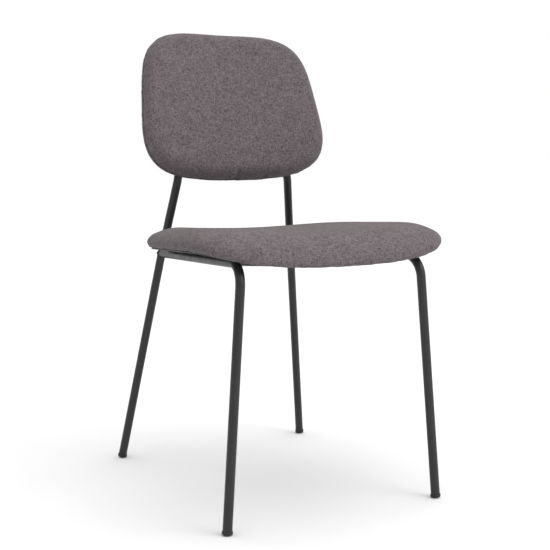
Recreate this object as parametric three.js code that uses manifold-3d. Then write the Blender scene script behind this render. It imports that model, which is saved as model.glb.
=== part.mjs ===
// A dining chair: a welded round-tube frame, and an upholstered plywood seat and back bolted to it.
// Millimetres, +Z up. The sitter faces -Y, so the sitter's left is +X.
import * as THREE from 'three';
import { mergeVertices } from 'three/addons/utils/BufferGeometryUtils.js';
import Module from 'manifold-3d';

const wasm = await Module();
wasm.setup();

// ---- Driving dimensions ----

// Clearances
const gap = 0.3; // between two pieces that touch
const layerGap = 0.6; // between two curved layers of the upholstery
const pocketGap = 1; // round a fixing buried in foam

// Frame: heights are those of the tubes' centre lines
const tubeR = 8;
const tubeWall = 1.5;
const tubeFacets = 12;
const footHalfSpread = 204.5;
const frontFootY = -243.5;
const rearFootY = 257.2;
const frontBendX = 171.3; // where the front leg's line meets the side rail's
const frontBendY = -230.6;
const frontRailHeight = 433.5;
const frontBendR = 38;
const rearRailX = 142; // where the side rail meets the rear tube
const rearRailY = 186;
const rearRailHeight = 416;
const rearKinkR = 160; // the rear tube's slight bend at the side rail
const uprightLean = 12; // degrees the upright leans forward going up
const uprightTilt = 9.2; // degrees it leans inward
const uprightBendR = 42; // the bend at the backrest's lower edge
const uprightRun = 170; // length of the upright inside the backrest
const uprightInsideTilt = 8;
const crossR = 6;
const frontCrossY = -160;
const rearCrossY = 128;

// Glides
const glideLip = 1; // the foot is wider than the tube by this
const glideR = tubeR + glideLip;
const glideDomeR = 20;
const glideHead = 7;
const glideStem = 22;
const glideFlat = 0.3; // how much of the dome is flat, where it stands

// Seat panel: its underside is straight front to rear, dished across, and falls towards both edges
const seatHalfWidth = 235;
const seatFrontY = -266.2;
const seatRearY = 168.8;
const seatTaper = 0.082; // share of the width lost from the middle to the rear
const seatFrontPower = 4.2;
const seatRearPower = 3.35;
const seatDishR = 2040;
const seatFrontFallY = -132; // the fall at the front starts here
const seatFrontDrop = 20.6; // and comes to this at the front edge
const seatRearFallY = 40; // the slight one at the rear starts here
const seatRearFallR = 10000;
const seatRailClearance = 0.9;
const seatPanelT = 10;
const seatPanelInset = 16;

// Seat upholstery
const seatThickness = 43.1; // underside of the panel to the top of the cover
const seatMid = 12.6; // height where the pad is widest
const seatTopEdge = 56; // how far in the top edge's round reaches
const seatTopPower = 1.8; // 2 is an ellipse, less thins the edge out
const seatLowerEdge = 17.5;
const seatDome = 1.3;
const coverT = 1.6;
const weltR = 1.3;
const weltHeight = 1.8;

// Seat fixings
const tabLength = 36;
const tabReach = 33;
const tabT = 3;
const tabYs = { front: -118, rear: 88 };
const tabHoleInset = 13; // from the tab's inner edge

// Backrest, in its own directions: x across, v up along the panel, w towards the rear
const backHalfWidth = 184;
const backHalfHeight = 147;
const backTaper = 0.096; // share of the width lost from the middle to the top
const backTopPower = 3.95;
const backLowerPower = 3.77;
const backBottom = new THREE.Vector3(0, 153.2, 557.5); // the seam's lowest point, where the uprights enter
const backLean = 15.7;
const backCurveR = 600;
const backPanelT = 9;
const backPanelFront = 4.8; // the panel's front face, ahead of the seam
const backPanelRear = backPanelT - backPanelFront; // its rear face, behind the seam
const backPanelInset = 16;
const frontDepth = 32;
const frontEdge = 22;
const frontDome = 4;
const uprightSeat = backPanelRear + gap + tubeR; // the upright's centre line, behind the seam
const foamOverUpright = 1.3;
const rearDepth = uprightSeat + tubeR + foamOverUpright + layerGap + coverT;
const rearEdge = 20;
const rearDome = 4;

// Fasteners
const boltR = 3;
const boltClearance = 0.4;
const seatHeadR = 5.6;
const seatHeadH = 3.2;
const washerR = 7.5;
const washerT = 1.6;
const backHeadR = 6.5;
const backHeadH = 2.2;
const nutFlangeR = 9.5;
const nutFlangeT = 1.5;
const nutBarrelR = 4.2;
const nutBarrelLength = 7;
const backBoltRuns = { lower: 52, upper: 148 }; // along the upright from its bend

// Fineness of the facets
const outlineFacets = 24;
const edgeSteps = 3;
const faceScales = [0.82, 0.45];
const fastenerFacets = 8;

// ---- Colours ----

function finish(color, roughness, metalness) {
  return new THREE.MeshStandardMaterial({ color, roughness, metalness });
}

const powderCoat = finish(0x2b2a2b, 0.5, 0.3);
const blackPlastic = finish(0x1a1a1b, 0.55, 0);
const fabric = finish(0x6b6366, 0.95, 0);
const foam = finish(0xd8cfae, 0.9, 0);
const plywood = finish(0xb08d5e, 0.7, 0);
const blackPlywood = finish(0x242324, 0.6, 0);
const zincSteel = finish(0xa9adb0, 0.35, 0.9);

const chair = new THREE.Group();
const radians = THREE.MathUtils.degToRad;
const point = (x, y, z) => new THREE.Vector3(x, y, z);
const up = point(0, 1, 0); // a turned piece's own axis
const sides = { left: 1, right: -1 };

// ---- Solids ----

// Merged vertices, and none of the flat triangles that a turned piece has on its axis.
function closed(geometry) {
  const bare = geometry.index ? geometry.toNonIndexed() : geometry.clone();
  bare.deleteAttribute('normal');
  bare.deleteAttribute('uv');
  const merged = mergeVertices(bare, 1e-3);
  const kept = [];
  for (let i = 0; i < merged.index.count; i += 3) {
    const [a, b, c] = [0, 1, 2].map((j) => merged.index.getX(i + j));
    if (a !== b && b !== c && c !== a) kept.push(a, b, c);
  }
  return merged.setIndex(kept);
}

function toSolid(geometry) {
  const merged = closed(geometry);
  const vertProperties = new Float32Array(merged.attributes.position.array);
  const triVerts = new Uint32Array(merged.index.array);
  return new wasm.Manifold(new wasm.Mesh({ numProp: 3, vertProperties, triVerts }));
}

function cut(geometry, cutters) {
  const solid = cutters.reduce((left, cutter) => left.subtract(toSolid(cutter)), toSolid(geometry));
  const mesh = solid.getMesh();
  const result = new THREE.BufferGeometry();
  result.setAttribute('position', new THREE.BufferAttribute(new Float32Array(mesh.vertProperties), 3));
  return result.setIndex(new THREE.BufferAttribute(new Uint32Array(mesh.triVerts), 1));
}

function addPiece(name, geometry, material, origin = point(0, 0, 0), axis = up) {
  const flat = closed(geometry).toNonIndexed();
  flat.computeVertexNormals();
  const mesh = new THREE.Mesh(flat, material);
  mesh.name = name;
  mesh.position.copy(origin);
  mesh.quaternion.setFromUnitVectors(up, axis);
  chair.add(mesh);
}

// The same placing, baked into the geometry of a cutter.
function aimed(geometry, origin, axis) {
  const turn = new THREE.Quaternion().setFromUnitVectors(up, axis);
  return geometry.clone().applyQuaternion(turn).translate(origin.x, origin.y, origin.z);
}

// A turned piece from [radius, height] pairs that go up, starting and ending on the axis or on the start.
function turned(profile, facets) {
  return new THREE.LatheGeometry(profile.map(([r, h]) => new THREE.Vector2(r, h)), facets);
}

const rod = (radius, from, to) => turned([[0, from], [radius, from], [radius, to], [0, to]], fastenerFacets);

// A curve that steps from station to station, so that a straight run takes one step and a bend several.
class StationCurve extends THREE.Curve {
  constructor(stations) {
    super();
    this.stations = stations;
  }
  station(u) {
    return this.stations[Math.round(u * (this.stations.length - 1))];
  }
  getPointAt(u) {
    return this.station(u).position.clone();
  }
  getTangentAt(u) {
    return this.station(u).tangent.clone();
  }
}

// Stations along a path of straight runs, with a true arc of the given radius at each corner.
function bentPath(corners, radii, bendSteps) {
  const along = (from, to) => to.clone().sub(from).normalize();
  const last = corners.length - 1;
  const stations = [{ position: corners[0], tangent: along(corners[0], corners[1]) }];
  for (let i = 1; i < last; i += 1) {
    const before = along(corners[i - 1], corners[i]);
    const after = along(corners[i], corners[i + 1]);
    const angle = before.angleTo(after);
    const towardsCentre = after.clone().sub(before).normalize();
    const centre = corners[i].clone().addScaledVector(towardsCentre, radii[i - 1] / Math.cos(angle / 2));
    const axis = before.clone().cross(after).normalize();
    const start = corners[i].clone().addScaledVector(before, -radii[i - 1] * Math.tan(angle / 2));
    for (let step = 0; step <= bendSteps; step += 1) {
      const turn = (angle * step) / bendSteps;
      const position = start.clone().sub(centre).applyAxisAngle(axis, turn).add(centre);
      stations.push({ position, tangent: before.clone().applyAxisAngle(axis, turn) });
    }
  }
  stations.push({ position: corners[last], tangent: along(corners[last - 1], corners[last]) });
  return new StationCurve(stations);
}

// A round bar along a path, with a bore through it when the inner radius isn't zero.
function roundBar(path, outerR, innerR) {
  const section = new THREE.Shape().absarc(0, 0, outerR, 0, 2 * Math.PI, false);
  if (innerR > 0) section.holes.push(new THREE.Path().absarc(0, 0, innerR, 0, 2 * Math.PI, true));
  return new THREE.ExtrudeGeometry(section, {
    steps: path.stations.length - 1,
    curveSegments: tubeFacets / 2,
    bevelEnabled: false,
    extrudePath: path,
  });
}

// A closed skin through a stack of rings. A ring of one point is a pole; a looped stack closes on itself.
// Each four-sided facet is split along its shorter diagonal, so that the facets of two layers run alike.
function skin(rings, looped = false) {
  const positions = [];
  const triangle = (a, b, c) => positions.push(...a.toArray(), ...b.toArray(), ...c.toArray());
  const bands = looped ? rings.length : rings.length - 1;
  for (let i = 0; i < bands; i += 1) {
    const lower = rings[i];
    const upper = rings[(i + 1) % rings.length];
    const facets = Math.max(lower.length, upper.length);
    for (let j = 0; j < facets && lower.length + upper.length > 2; j += 1) {
      const next = (j + 1) % facets;
      if (lower.length === 1) triangle(lower[0], upper[next], upper[j]);
      else if (upper.length === 1) triangle(lower[j], lower[next], upper[0]);
      else if (lower[j].distanceTo(upper[next]) < lower[next].distanceTo(upper[j])) {
        triangle(lower[j], lower[next], upper[next]);
        triangle(lower[j], upper[next], upper[j]);
      } else {
        triangle(lower[j], lower[next], upper[j]);
        triangle(lower[next], upper[next], upper[j]);
      }
    }
  }
  return new THREE.BufferGeometry().setAttribute('position', new THREE.Float32BufferAttribute(positions, 3));
}

// A rounded, tapered outline of unit size, as [across, along] for an angle.
function unitOutline(angle, taper, powerPlus, powerMinus) {
  const power = 2 / (Math.sin(angle) > 0 ? powerPlus : powerMinus);
  const signed = (value) => Math.sign(value) * Math.abs(value) ** power;
  const along = signed(Math.sin(angle));
  return [(1 - taper * along) * signed(Math.cos(angle)), along];
}

// A ring of the outline at an inset, scaled about the middle, at a height. Scale 0 is a pole.
function ringMaker(halfAcross, halfAlong, taper, powerPlus, powerMinus, place) {
  return ([inset, scale, height]) => {
    if (scale === 0) return [place(0, 0, height)];
    return Array.from({ length: outlineFacets }, (_, i) => {
      const angle = ((i + 0.5) / outlineFacets) * 2 * Math.PI;
      const [across, along] = unitOutline(angle, taper, powerPlus, powerMinus);
      return place(across * (halfAcross - inset) * scale, along * (halfAlong - inset) * scale, height);
    });
  };
}

// The rounded edge of a pad from its widest ring to its face, then the domed face to its pole.
// Offset is how far the surface lies inside the outer one.
function padEdge(depth, edge, offset, { from = 0, power = 2 } = {}) {
  return Array.from({ length: edgeSteps + 1 }, (_, i) => {
    const angle = from + ((Math.PI / 2 - from) * i) / edgeSteps;
    const inward = 1 - Math.max(Math.cos(angle), 0) ** (2 / power);
    return [offset + edge * inward, 1, (depth - offset) * Math.sin(angle) ** (2 / power)];
  });
}

const padFace = (depth, edge, dome, offset) =>
  [...faceScales, 0].map((k) => [offset + edge, k, depth - offset + dome * (1 - k * k)]);

const flatFace = (inset, height) => [...faceScales, 0].map((k) => [inset, k, height]);

// ---- Seat shape ----

const seatHalfDepth = (seatRearY - seatFrontY) / 2;
const seatMiddleY = (seatRearY + seatFrontY) / 2;
const railSlope = (rearRailHeight - frontRailHeight) / (rearRailY - frontBendY);
const railXAt = (y) => THREE.MathUtils.mapLinear(y, frontBendY, rearRailY, frontBendX, rearRailX);
const railZAt = (y) => frontRailHeight + railSlope * (y - frontBendY);

// Height of the seat panel's underside, which clears the rails where they stand closest, at the rear.
function seatBase(x, y) {
  const dish = (x * x - rearRailX * rearRailX) / (2 * seatDishR);
  const intoFall = Math.max(seatFrontFallY - y, 0) / (seatFrontFallY - seatFrontY);
  const frontFall = seatFrontDrop * intoFall ** 3;
  const rearFall = Math.max(y - seatRearFallY, 0) ** 2 / (2 * seatRearFallR);
  return railZAt(y) + tubeR + seatRailClearance + dish - frontFall - rearFall;
}

const seatPoint = (x, y, h) => point(x, y + seatMiddleY, seatBase(x, y + seatMiddleY) + h);
const seatRing = ringMaker(
  seatHalfWidth, seatHalfDepth, seatTaper, seatRearPower, seatFrontPower, seatPoint,
);

// The direction straight out of the panel's upper face.
function seatNormal(x, y) {
  const step = 1;
  const slopeX = (seatBase(x + step, y) - seatBase(x - step, y)) / (2 * step);
  const slopeY = (seatBase(x, y + step) - seatBase(x, y - step)) / (2 * step);
  return point(-slopeX, -slopeY, 1).normalize();
}

// ---- Backrest shape ----

const backUp = point(0, Math.sin(radians(backLean)), Math.cos(radians(backLean)));
const backRear = point(0, Math.cos(radians(backLean)), -Math.sin(radians(backLean)));
const backCentre = backBottom.clone().addScaledVector(backUp, backHalfHeight);
const seamDepth = (x) => -(x * x) / (2 * backCurveR); // the sides come forward

const backPoint = (x, v, w) => backCentre.clone()
  .add(point(x, 0, 0))
  .addScaledVector(backUp, v)
  .addScaledVector(backRear, w + seamDepth(x));

// Heights in a front ring count forward from the seam, those in a rear ring count rearward.
const backRingMaker = (place) => ringMaker(
  backHalfWidth, backHalfHeight, backTaper, backTopPower, backLowerPower, place,
);
const frontRing = backRingMaker((x, v, ahead) => backPoint(x, v, -ahead));
const rearRing = (spec) => backRingMaker(backPoint)(spec).reverse();
const backNormal = (x) => backRear.clone().add(point(x / backCurveR, 0, 0)).normalize();

// ---- Frame ----

const legAxis = (foot, top) => top.clone().sub(foot).normalize();

// A leg's glide stands with its dome on the floor, on the leg's line, and the floor cuts its flat.
function glideBase(foot, axis) {
  return foot.clone().addScaledVector(axis, (glideDomeR - glideFlat) / axis.z - glideDomeR);
}

function frontLeg(side) {
  const foot = point(side * footHalfSpread, frontFootY, 0);
  const bend = point(side * frontBendX, frontBendY, frontRailHeight);
  const axis = legAxis(foot, bend);
  const base = glideBase(foot, axis);
  return { base, axis, tubeStart: base.clone().addScaledVector(axis, glideHead + gap), bend };
}

function rearLeg(side) {
  const foot = point(side * footHalfSpread, rearFootY, 0);
  const kink = point(side * rearRailX, rearRailY, rearRailHeight);
  const axis = legAxis(foot, kink);
  const base = glideBase(foot, axis);
  return { base, axis, tubeStart: base.clone().addScaledVector(axis, glideHead + gap), kink };
}

// Where the upright's line meets the surface that it follows behind the back panel.
function uprightBend(side) {
  const kink = rearLeg(side).kink;
  const rise = point(-side * Math.tan(radians(uprightTilt)), -Math.tan(radians(uprightLean)), 1);
  const depthOf = (p) => p.clone().sub(backCentre).dot(backRear);
  let run = 0;
  for (let pass = 0; pass < 12; pass += 1) {
    const here = kink.clone().addScaledVector(rise, run);
    run += (seamDepth(here.x) + uprightSeat - depthOf(here)) / rise.dot(backRear);
  }
  return kink.clone().addScaledVector(rise, run);
}

// A point on the upright's centre line inside the backrest, at a distance above its bend.
function uprightPoint(side, run) {
  const bend = uprightBend(side);
  const v = bend.clone().sub(backCentre).dot(backUp) + run * Math.cos(radians(uprightInsideTilt));
  const x = bend.x - side * run * Math.sin(radians(uprightInsideTilt));
  return backPoint(x, v, uprightSeat);
}

function sideTubePath(side) {
  const { tubeStart, bend } = frontLeg(side);
  return bentPath([tubeStart, bend, rearLeg(side).kink], [frontBendR], 7);
}

function rearTubePath(side) {
  const { tubeStart, kink } = rearLeg(side);
  const corners = [tubeStart, kink, uprightBend(side), uprightPoint(side, uprightRun)];
  return bentPath(corners, [rearKinkR, uprightBendR], 4);
}

// Solids with a little more all round, to cut their neighbours with.
const sideTubeBody = (side) => roundBar(sideTubePath(side), tubeR + gap, 0);
const rearTubeBody = (side) => roundBar(rearTubePath(side), tubeR + gap, 0);

// A cross rail is rolled to the seat's dish, so that it runs level under the panel.
function crossRailPath(y) {
  const end = railXAt(y);
  const steps = 6;
  const stations = Array.from({ length: steps + 1 }, (_, i) => {
    const x = THREE.MathUtils.lerp(-end, end, i / steps);
    const position = point(x, y, railZAt(y) + (x * x - end * end) / (2 * seatDishR));
    return { position, tangent: point(1, 0, x / seatDishR).normalize() };
  });
  return new StationCurve(stations);
}

// ---- Fixing places ----

// Where a seat bolt's line crosses the panel's underside.
function seatFixing(side, y) {
  const x = side * (railXAt(y) - tabReach + tabHoleInset);
  return { origin: point(x, y, seatBase(x, y)), axis: seatNormal(x, y) };
}

// Where a back bolt's line crosses the panel's front face; its axis points to the rear.
function backFixing(side, run) {
  const onTube = uprightPoint(side, run);
  const axis = backNormal(onTube.x);
  const depth = (uprightSeat + backPanelFront) / axis.dot(backRear);
  return { origin: onTube.clone().addScaledVector(axis, -depth), axis, tubeDepth: depth };
}

const seatFixings = [];
const backFixings = [];
for (const [sideName, side] of Object.entries(sides)) {
  for (const [end, y] of Object.entries(tabYs)) {
    seatFixings.push({ name: `${end}_${sideName}`, side, y, ...seatFixing(side, y) });
  }
  for (const [level, run] of Object.entries(backBoltRuns)) {
    backFixings.push({ name: `${level}_${sideName}`, side, ...backFixing(side, run) });
  }
}

// ---- Fasteners, each on its own axis ----

// The flanged nut's flange lies on the face at height 0, and its barrel reaches down into the panel.
function flangedNut() {
  const bore = boltR + gap;
  return turned([
    [bore, -nutBarrelLength],
    [nutBarrelR, -nutBarrelLength],
    [nutBarrelR, gap],
    [nutFlangeR, gap],
    [nutFlangeR, gap + nutFlangeT],
    [bore, gap + nutFlangeT],
    [bore, -nutBarrelLength],
  ], fastenerFacets);
}

// A bolt whose head's underside is at height 0 and whose shank goes up.
function bolt(headR, headH, length) {
  const socketR = boltR * 0.6;
  const socketDepth = headH * 0.6;
  return turned([
    [0, socketDepth - headH],
    [socketR, socketDepth - headH],
    [socketR, -headH],
    [headR * 0.7, -headH],
    [headR, -headH * 0.4],
    [headR, 0],
    [boltR, 0],
    [boltR, length],
    [0, length],
  ], fastenerFacets);
}

const washer = () => turned([
  [boltR + gap, -washerT],
  [washerR, -washerT],
  [washerR, 0],
  [boltR + gap, 0],
  [boltR + gap, -washerT],
], fastenerFacets);

const flangePocket = () => rod(nutFlangeR + pocketGap, -gap, gap + nutFlangeT + pocketGap);

// A panel's hole for the barrel, and the flat spot that the flange lies on.
const nutSeat = (panelT, origin, axis) => [
  aimed(rod(nutBarrelR + gap, -2 * panelT, panelT), origin, axis),
  aimed(rod(nutFlangeR + 2 * gap, 0, panelT), origin, axis),
];

// ---- The frame's pieces ----

for (const [sideName, side] of Object.entries(sides)) {
  const front = frontLeg(side);
  const rear = rearLeg(side);

  const sideTube = roundBar(sideTubePath(side), tubeR, tubeR - tubeWall);
  addPiece(`side_tube_${sideName}`, cut(sideTube, [rearTubeBody(side)]), powderCoat);

  const rearTube = roundBar(rearTubePath(side), tubeR, tubeR - tubeWall);
  const boltHoles = backFixings
    .filter((fixing) => fixing.side === side)
    .map((fixing) => aimed(rod(boltR + boltClearance, 0, 2 * fixing.tubeDepth), fixing.origin, fixing.axis));
  addPiece(`rear_tube_${sideName}`, cut(rearTube, boltHoles), powderCoat);

  for (const [end, leg] of Object.entries({ front, rear })) {
    const floor = new THREE.BoxGeometry(4 * glideR, 4 * glideR, glideR)
      .translate(leg.base.x, leg.base.y, -glideR / 2);
    addPiece(`glide_${end}_${sideName}`, cut(aimed(glide(), leg.base, leg.axis), [floor]), blackPlastic);
  }
}

// A plug-in glide: a domed foot at the bottom and a stem up the tube.
function glide() {
  const domeSteps = 3;
  const domeAngle = Math.asin(glideR / glideDomeR);
  const dome = Array.from({ length: domeSteps + 1 }, (_, i) => {
    const angle = (domeAngle * i) / domeSteps;
    return [glideDomeR * Math.sin(angle), glideDomeR * (1 - Math.cos(angle))];
  });
  const stemR = tubeR - tubeWall - gap;
  const stemTop = glideHead + glideStem;
  return turned([...dome, [glideR, glideHead], [stemR, glideHead], [stemR, stemTop], [0, stemTop]], tubeFacets);
}

for (const [end, y] of Object.entries({ front: frontCrossY, rear: rearCrossY })) {
  const bar = roundBar(crossRailPath(y), crossR, crossR - tubeWall);
  addPiece(`cross_rail_${end}`, cut(bar, Object.values(sides).map(sideTubeBody)), powderCoat);
}

// A seat tab is a flat plate under the panel, welded to the rail's inner flank.
for (const { name, side, y, origin, axis } of seatFixings) {
  const outerReach = railXAt(y) - Math.abs(origin.x);
  const plate = new THREE.BoxGeometry(tabHoleInset + outerReach, tabT, tabLength)
    .translate((side * (outerReach - tabHoleInset)) / 2, -gap - tabT / 2, 0);
  const hole = rod(boltR + boltClearance, -2 * tabT, tabT);
  addPiece(`seat_tab_${name}`, cut(aimed(cut(plate, [hole]), origin, axis), [sideTubeBody(side)]), powderCoat);
}

// ---- The seat's pieces ----

const panelRim = [seatPanelInset, 1];
const seatPanel = skin([
  ...flatFace(seatPanelInset, 0).reverse(),
  [...panelRim, 0],
  [...panelRim, seatPanelT],
  ...flatFace(seatPanelInset, seatPanelT),
].map(seatRing));
const onSeatPanel = ({ origin, axis }) => origin.clone().addScaledVector(axis, seatPanelT);
const seatHoles = seatFixings.flatMap((fixing) => nutSeat(seatPanelT, onSeatPanel(fixing), fixing.axis));
addPiece('seat_panel', cut(seatPanel, seatHoles), blackPlywood);

// The cover's sides swell out over the panel's edge and roll in under it to the welt.
const seatCrown = seatThickness - seatMid;
const coverHem = weltHeight + weltR + gap;
const seatSideRings = (offset, hem) => {
  const lowest = Math.asin((seatMid - hem) / (seatMid - offset));
  const lower = Array.from({ length: edgeSteps }, (_, i) => {
    const angle = lowest * (1 - i / edgeSteps);
    return [offset + seatLowerEdge * (1 - Math.cos(angle)), 1, seatMid - (seatMid - offset) * Math.sin(angle)];
  });
  const upper = padEdge(seatCrown, seatTopEdge, offset, { power: seatTopPower });
  const face = padFace(seatCrown, seatTopEdge, seatDome, offset);
  return [...lower, ...[...upper, ...face].map(([e, k, h]) => [e, k, seatMid + h])];
};
const hemInset = seatPanelInset - layerGap;
addPiece('seat_cover', skin([
  [hemInset, 1, coverHem],
  ...seatSideRings(0, coverHem),
  ...seatSideRings(coverT, coverHem + coverT).reverse(),
  [hemInset, 1, coverHem + coverT],
].map(seatRing), true), fabric);

const foamOffset = coverT + layerGap;
const foamBottom = seatPanelT + layerGap;
const foamHem = coverHem + foamOffset;
const seatFoam = skin([
  ...flatFace(seatPanelInset, foamBottom).reverse(),
  [hemInset, 1, foamBottom],
  [hemInset, 1, foamHem],
  ...seatSideRings(foamOffset, foamHem),
].map(seatRing));

// The fixings' upper side: flanged nuts on top of the panel, in pockets of the foam.
const seatPockets = seatFixings.map((fixing) => aimed(flangePocket(), onSeatPanel(fixing), fixing.axis));
addPiece('seat_foam', cut(seatFoam, seatPockets), foam);

// The welt is sewn under the cover's lower outer edge.
const hemAngle = Math.asin((seatMid - coverHem) / seatMid);
const weltInset = seatLowerEdge * (1 - Math.cos(hemAngle)) + weltR;
const weltFacets = 6;
const weltRings = Array.from({ length: weltFacets }, (_, i) => {
  const angle = (2 * Math.PI * i) / weltFacets;
  return [weltInset + weltR * Math.sin(angle), 1, weltHeight + weltR * Math.cos(angle)];
});
addPiece('seat_welt', skin(weltRings.map(seatRing), true), fabric);

const tabStack = gap + tabT;
const seatBoltLength = washerT + tabT + 3 * gap + seatPanelT;
for (const fixing of seatFixings) {
  const { name, origin, axis } = fixing;
  const underTab = origin.clone().addScaledVector(axis, -tabStack - gap);
  const underWasher = underTab.clone().addScaledVector(axis, -washerT - gap);
  addPiece(`seat_washer_${name}`, washer(), zincSteel, underTab, axis);
  addPiece(`seat_bolt_${name}`, bolt(seatHeadR, seatHeadH, seatBoltLength), zincSteel, underWasher, axis);
  addPiece(`seat_nut_${name}`, flangedNut(), zincSteel, onSeatPanel(fixing), axis);
}

// ---- The backrest's pieces ----

const backPanel = skin([
  ...flatFace(backPanelInset, -backPanelRear).reverse(),
  [backPanelInset, 1, -backPanelRear],
  [backPanelInset, 1, backPanelFront],
  ...flatFace(backPanelInset, backPanelFront),
].map(frontRing));
const backHoles = backFixings.flatMap(({ origin, axis }) => nutSeat(backPanelT, origin, axis.clone().negate()));
addPiece('back_panel', cut(backPanel, backHoles), plywood);

// Each cover is a skin that ends at the seam; each foam fills it and hugs the panel's edge.
const seamGap = gap / 2;
function backSkin(depth, edge, dome, offset) {
  const sideRings = padEdge(depth, edge, offset, { from: Math.asin(seamGap / depth) });
  return [...sideRings, ...padFace(depth, edge, dome, offset)];
}
const backCover = (ring, depth, edge, dome) => skin([
  ...backSkin(depth, edge, dome, 0),
  ...backSkin(depth, edge, dome, coverT).reverse(),
].map(ring), true);
const foamRimInset = backPanelInset - layerGap;
const backFoam = (ring, depth, edge, dome, panelFace) => skin([
  ...flatFace(backPanelInset, panelFace + layerGap).reverse(),
  [foamRimInset, 1, panelFace + layerGap],
  [foamRimInset, 1, seamGap],
  ...backSkin(depth, edge, dome, foamOffset),
].map(ring));

addPiece('back_front_cover', backCover(frontRing, frontDepth, frontEdge, frontDome), fabric);
const frontFoam = backFoam(frontRing, frontDepth, frontEdge, frontDome, backPanelFront);
const backPockets = backFixings.map(({ origin, axis }) => {
  return aimed(flangePocket(), origin, axis.clone().negate());
});
addPiece('back_front_foam', cut(frontFoam, backPockets), foam);

const uprights = Object.values(sides).map(rearTubeBody);
const boltPockets = backFixings.flatMap(({ origin, axis, tubeDepth }) => {
  const headTop = tubeDepth + tubeR + gap + backHeadH + pocketGap;
  return [
    aimed(rod(boltR + boltClearance, 0, tubeDepth), origin, axis),
    aimed(rod(backHeadR + pocketGap, tubeDepth, headTop), origin, axis),
  ];
});
const rearCover = backCover(rearRing, rearDepth, rearEdge, rearDome);
const rearFoam = backFoam(rearRing, rearDepth, rearEdge, rearDome, backPanelRear);
addPiece('back_rear_cover', cut(rearCover, uprights), fabric);
addPiece('back_rear_foam', cut(rearFoam, [...uprights, ...boltPockets]), foam);

for (const { name, origin, axis, tubeDepth } of backFixings) {
  const forward = axis.clone().negate();
  const length = tubeDepth + tubeR + gap;
  const underHead = origin.clone().addScaledVector(axis, length);
  addPiece(`back_bolt_${name}`, bolt(backHeadR, backHeadH, length), zincSteel, underHead, forward);
  addPiece(`back_nut_${name}`, flangedNut(), zincSteel, origin, forward);
}

// The origin is on the floor under the middle of the chair.
const box = new THREE.Box3().setFromObject(chair, true);
const middle = box.getCenter(point(0, 0, 0));
chair.position.set(-middle.x, -middle.y, -box.min.z);

export default chair;
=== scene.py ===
import math
import bpy
import bmesh
import numpy as np
from mathutils import Matrix, Vector


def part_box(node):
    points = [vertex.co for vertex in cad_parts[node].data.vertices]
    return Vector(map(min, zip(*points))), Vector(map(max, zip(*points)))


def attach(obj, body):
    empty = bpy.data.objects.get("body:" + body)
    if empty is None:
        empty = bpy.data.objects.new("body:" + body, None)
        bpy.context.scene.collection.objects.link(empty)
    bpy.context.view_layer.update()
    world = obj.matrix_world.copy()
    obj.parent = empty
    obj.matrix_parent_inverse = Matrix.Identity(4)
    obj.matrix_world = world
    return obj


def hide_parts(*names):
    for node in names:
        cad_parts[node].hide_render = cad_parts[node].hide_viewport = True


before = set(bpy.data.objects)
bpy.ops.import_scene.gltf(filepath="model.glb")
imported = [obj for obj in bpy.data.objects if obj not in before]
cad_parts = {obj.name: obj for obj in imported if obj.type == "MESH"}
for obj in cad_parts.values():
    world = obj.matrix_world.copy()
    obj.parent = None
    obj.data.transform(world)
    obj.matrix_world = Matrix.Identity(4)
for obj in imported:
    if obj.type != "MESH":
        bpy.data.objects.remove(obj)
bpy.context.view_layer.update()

mm = 0.001
scene = bpy.context.scene
print("dining chair: frame loaded")


# camera

cameraSetup = {
    "place": (-0.892, -1.722, 0.602),
    "turn": (83.6, 0, -27.63),  # degrees
    "lens": 68.9,
}

camera = bpy.data.objects.new("camera", bpy.data.cameras.new("camera"))
scene.collection.objects.link(camera)
camera.location = cameraSetup["place"]
camera.rotation_euler = [math.radians(a) for a in cameraSetup["turn"]]
camera.data.lens = cameraSetup["lens"]
camera.data.sensor_width = 36
scene.camera = camera


# small helpers

def deselectAll():
    if bpy.context.object and bpy.context.object.mode != "OBJECT":
        bpy.ops.object.mode_set(mode="OBJECT")
    bpy.ops.object.select_all(action="DESELECT")


def takeUp(piece):
    deselectAll()
    piece.select_set(True)
    bpy.context.view_layer.objects.active = piece


def newest(name):
    piece = bpy.context.object
    piece.name = name
    piece.data.name = name
    bpy.ops.object.transform_apply(location=True, rotation=True, scale=True)
    return piece


def pick(kind, test):  # selects only the faces, edges or vertices that pass, in edit mode
    bpy.ops.mesh.select_mode(type=kind)
    bpy.ops.mesh.select_all(action="DESELECT")
    mesh = bpy.context.object.data
    shape = bmesh.from_edit_mesh(mesh)
    for part in {"FACE": shape.faces, "EDGE": shape.edges, "VERT": shape.verts}[kind]:
        part.select_set(bool(test(part)))
    shape.select_flush_mode()
    bmesh.update_edit_mesh(mesh)


def faceOut():
    bpy.ops.mesh.select_all(action="SELECT")
    bpy.ops.mesh.normals_make_consistent(inside=False)
    bpy.ops.object.mode_set(mode="OBJECT")


def smoothShade(piece, angle=35):
    takeUp(piece)
    bpy.ops.object.shade_smooth_by_angle(angle=math.radians(angle))


def applyAll(piece):
    takeUp(piece)
    for modifier in list(piece.modifiers):
        bpy.ops.object.modifier_apply(modifier=modifier.name)


def copyAs(piece, name, matrix):
    twin = piece.copy()
    twin.data = piece.data.copy()
    twin.name = name
    twin.data.name = name
    scene.collection.objects.link(twin)
    twin.data.transform(matrix)
    return twin


def pointsOf(piece):
    flat = np.empty(len(piece.data.vertices) * 3)
    piece.data.vertices.foreach_get("co", flat)
    return flat.reshape(-1, 3)


def setPoints(piece, points):
    piece.data.vertices.foreach_set("co", points.astype(np.float32).ravel())
    piece.data.update()


def normalsOf(piece):
    flat = np.empty(len(piece.data.vertices) * 3)
    piece.data.vertex_normals.foreach_get("vector", flat)
    return flat.reshape(-1, 3)


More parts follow.
